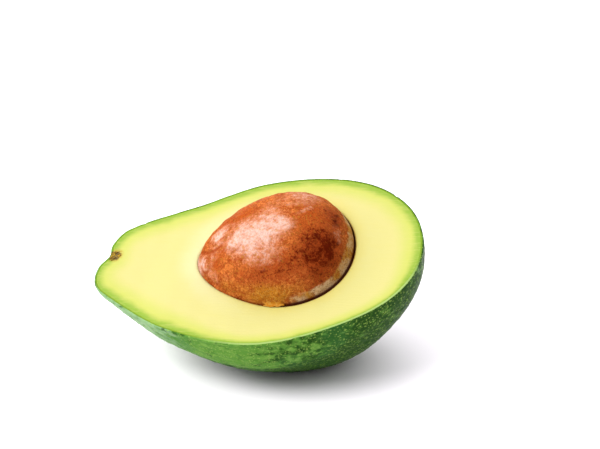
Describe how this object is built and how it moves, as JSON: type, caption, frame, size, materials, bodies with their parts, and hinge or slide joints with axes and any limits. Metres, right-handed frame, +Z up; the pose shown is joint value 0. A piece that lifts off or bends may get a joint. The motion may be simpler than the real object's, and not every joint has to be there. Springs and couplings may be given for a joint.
{
  "type": "avocado",
  "caption": "Pear-shaped avocado half as cut, with its seed lying in the flesh and its peel on; rests on a small flat spot.",
  "frame": {"origin": "middle of the box's base, on the surface the half lies on", "axes": "+X along the fruit's length towards its blunt end, +Z up; the cut face leans towards -Y"},
  "size_m": [0.1176, 0.0756, 0.0613],
  "materials": {
    "skin": "satin",
    "flesh": "satin",
    "seed": "satin",
    "stem_scar": "matte"
  },
  "bodies": {
    "root": {"skin": "skin", "flesh": "flesh", "seed": "seed", "stem_scar": "stem_scar"}
  },
  "joints": []
}
